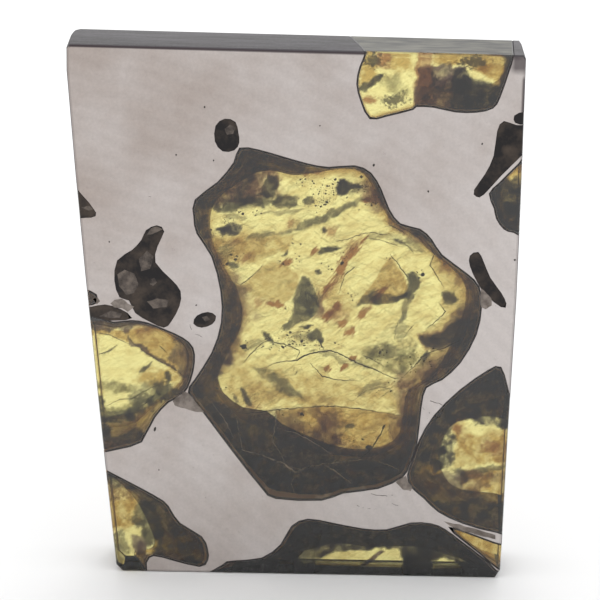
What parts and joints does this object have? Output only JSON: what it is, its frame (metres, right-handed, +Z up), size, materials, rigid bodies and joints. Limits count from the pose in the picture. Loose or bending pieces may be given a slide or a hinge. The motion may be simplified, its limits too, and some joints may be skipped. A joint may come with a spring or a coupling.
{
  "type": "pallasite meteorite slice",
  "caption": "Polished part slice of a pallasite meteorite: olivine crystals and dark inclusions set in a nickel-iron slab that stands on its cut lower edge.",
  "frame": {"origin": "middle of the lower cut edge, at the height of the flat spot that it rests on", "axes": "+X to the right along the polished front face, +Y from the front face to the back face, +Z up; the front face looks along -Y"},
  "size_m": [0.0428, 0.007, 0.0525],
  "materials": {
    "nickel_iron": "fine satin polish, with faint swirls, hairline cracks, pits and flush grey grains of schreibersite",
    "olivine": "polished, see-through yellow-green, with brown rims, green fracture veils and amber stains",
    "dark_inclusion": "polished near-black troilite and shadowed glassy olivine"
  },
  "bodies": {
    "root": {"nickel_iron_matrix": "nickel_iron", "olivine_center": "olivine", "olivine_top": "olivine", "olivine_left": "olivine", "olivine_left_bead": "olivine", "olivine_bottom_left": "olivine", "olivine_bottom": "olivine", "olivine_bottom_wedge": "olivine", "olivine_lower_right": "olivine", "olivine_right_edge": "olivine", "inclusion_pocket": "dark_inclusion", "inclusion_teardrop": "dark_inclusion", "inclusion_left_cap": "dark_inclusion", "inclusion_left_edge": "dark_inclusion", "inclusion_right_edge": "dark_inclusion", "inclusion_right_bead": "dark_inclusion", "inclusion_sliver": "dark_inclusion", "inclusion_oval": "dark_inclusion"}
  },
  "joints": []
}
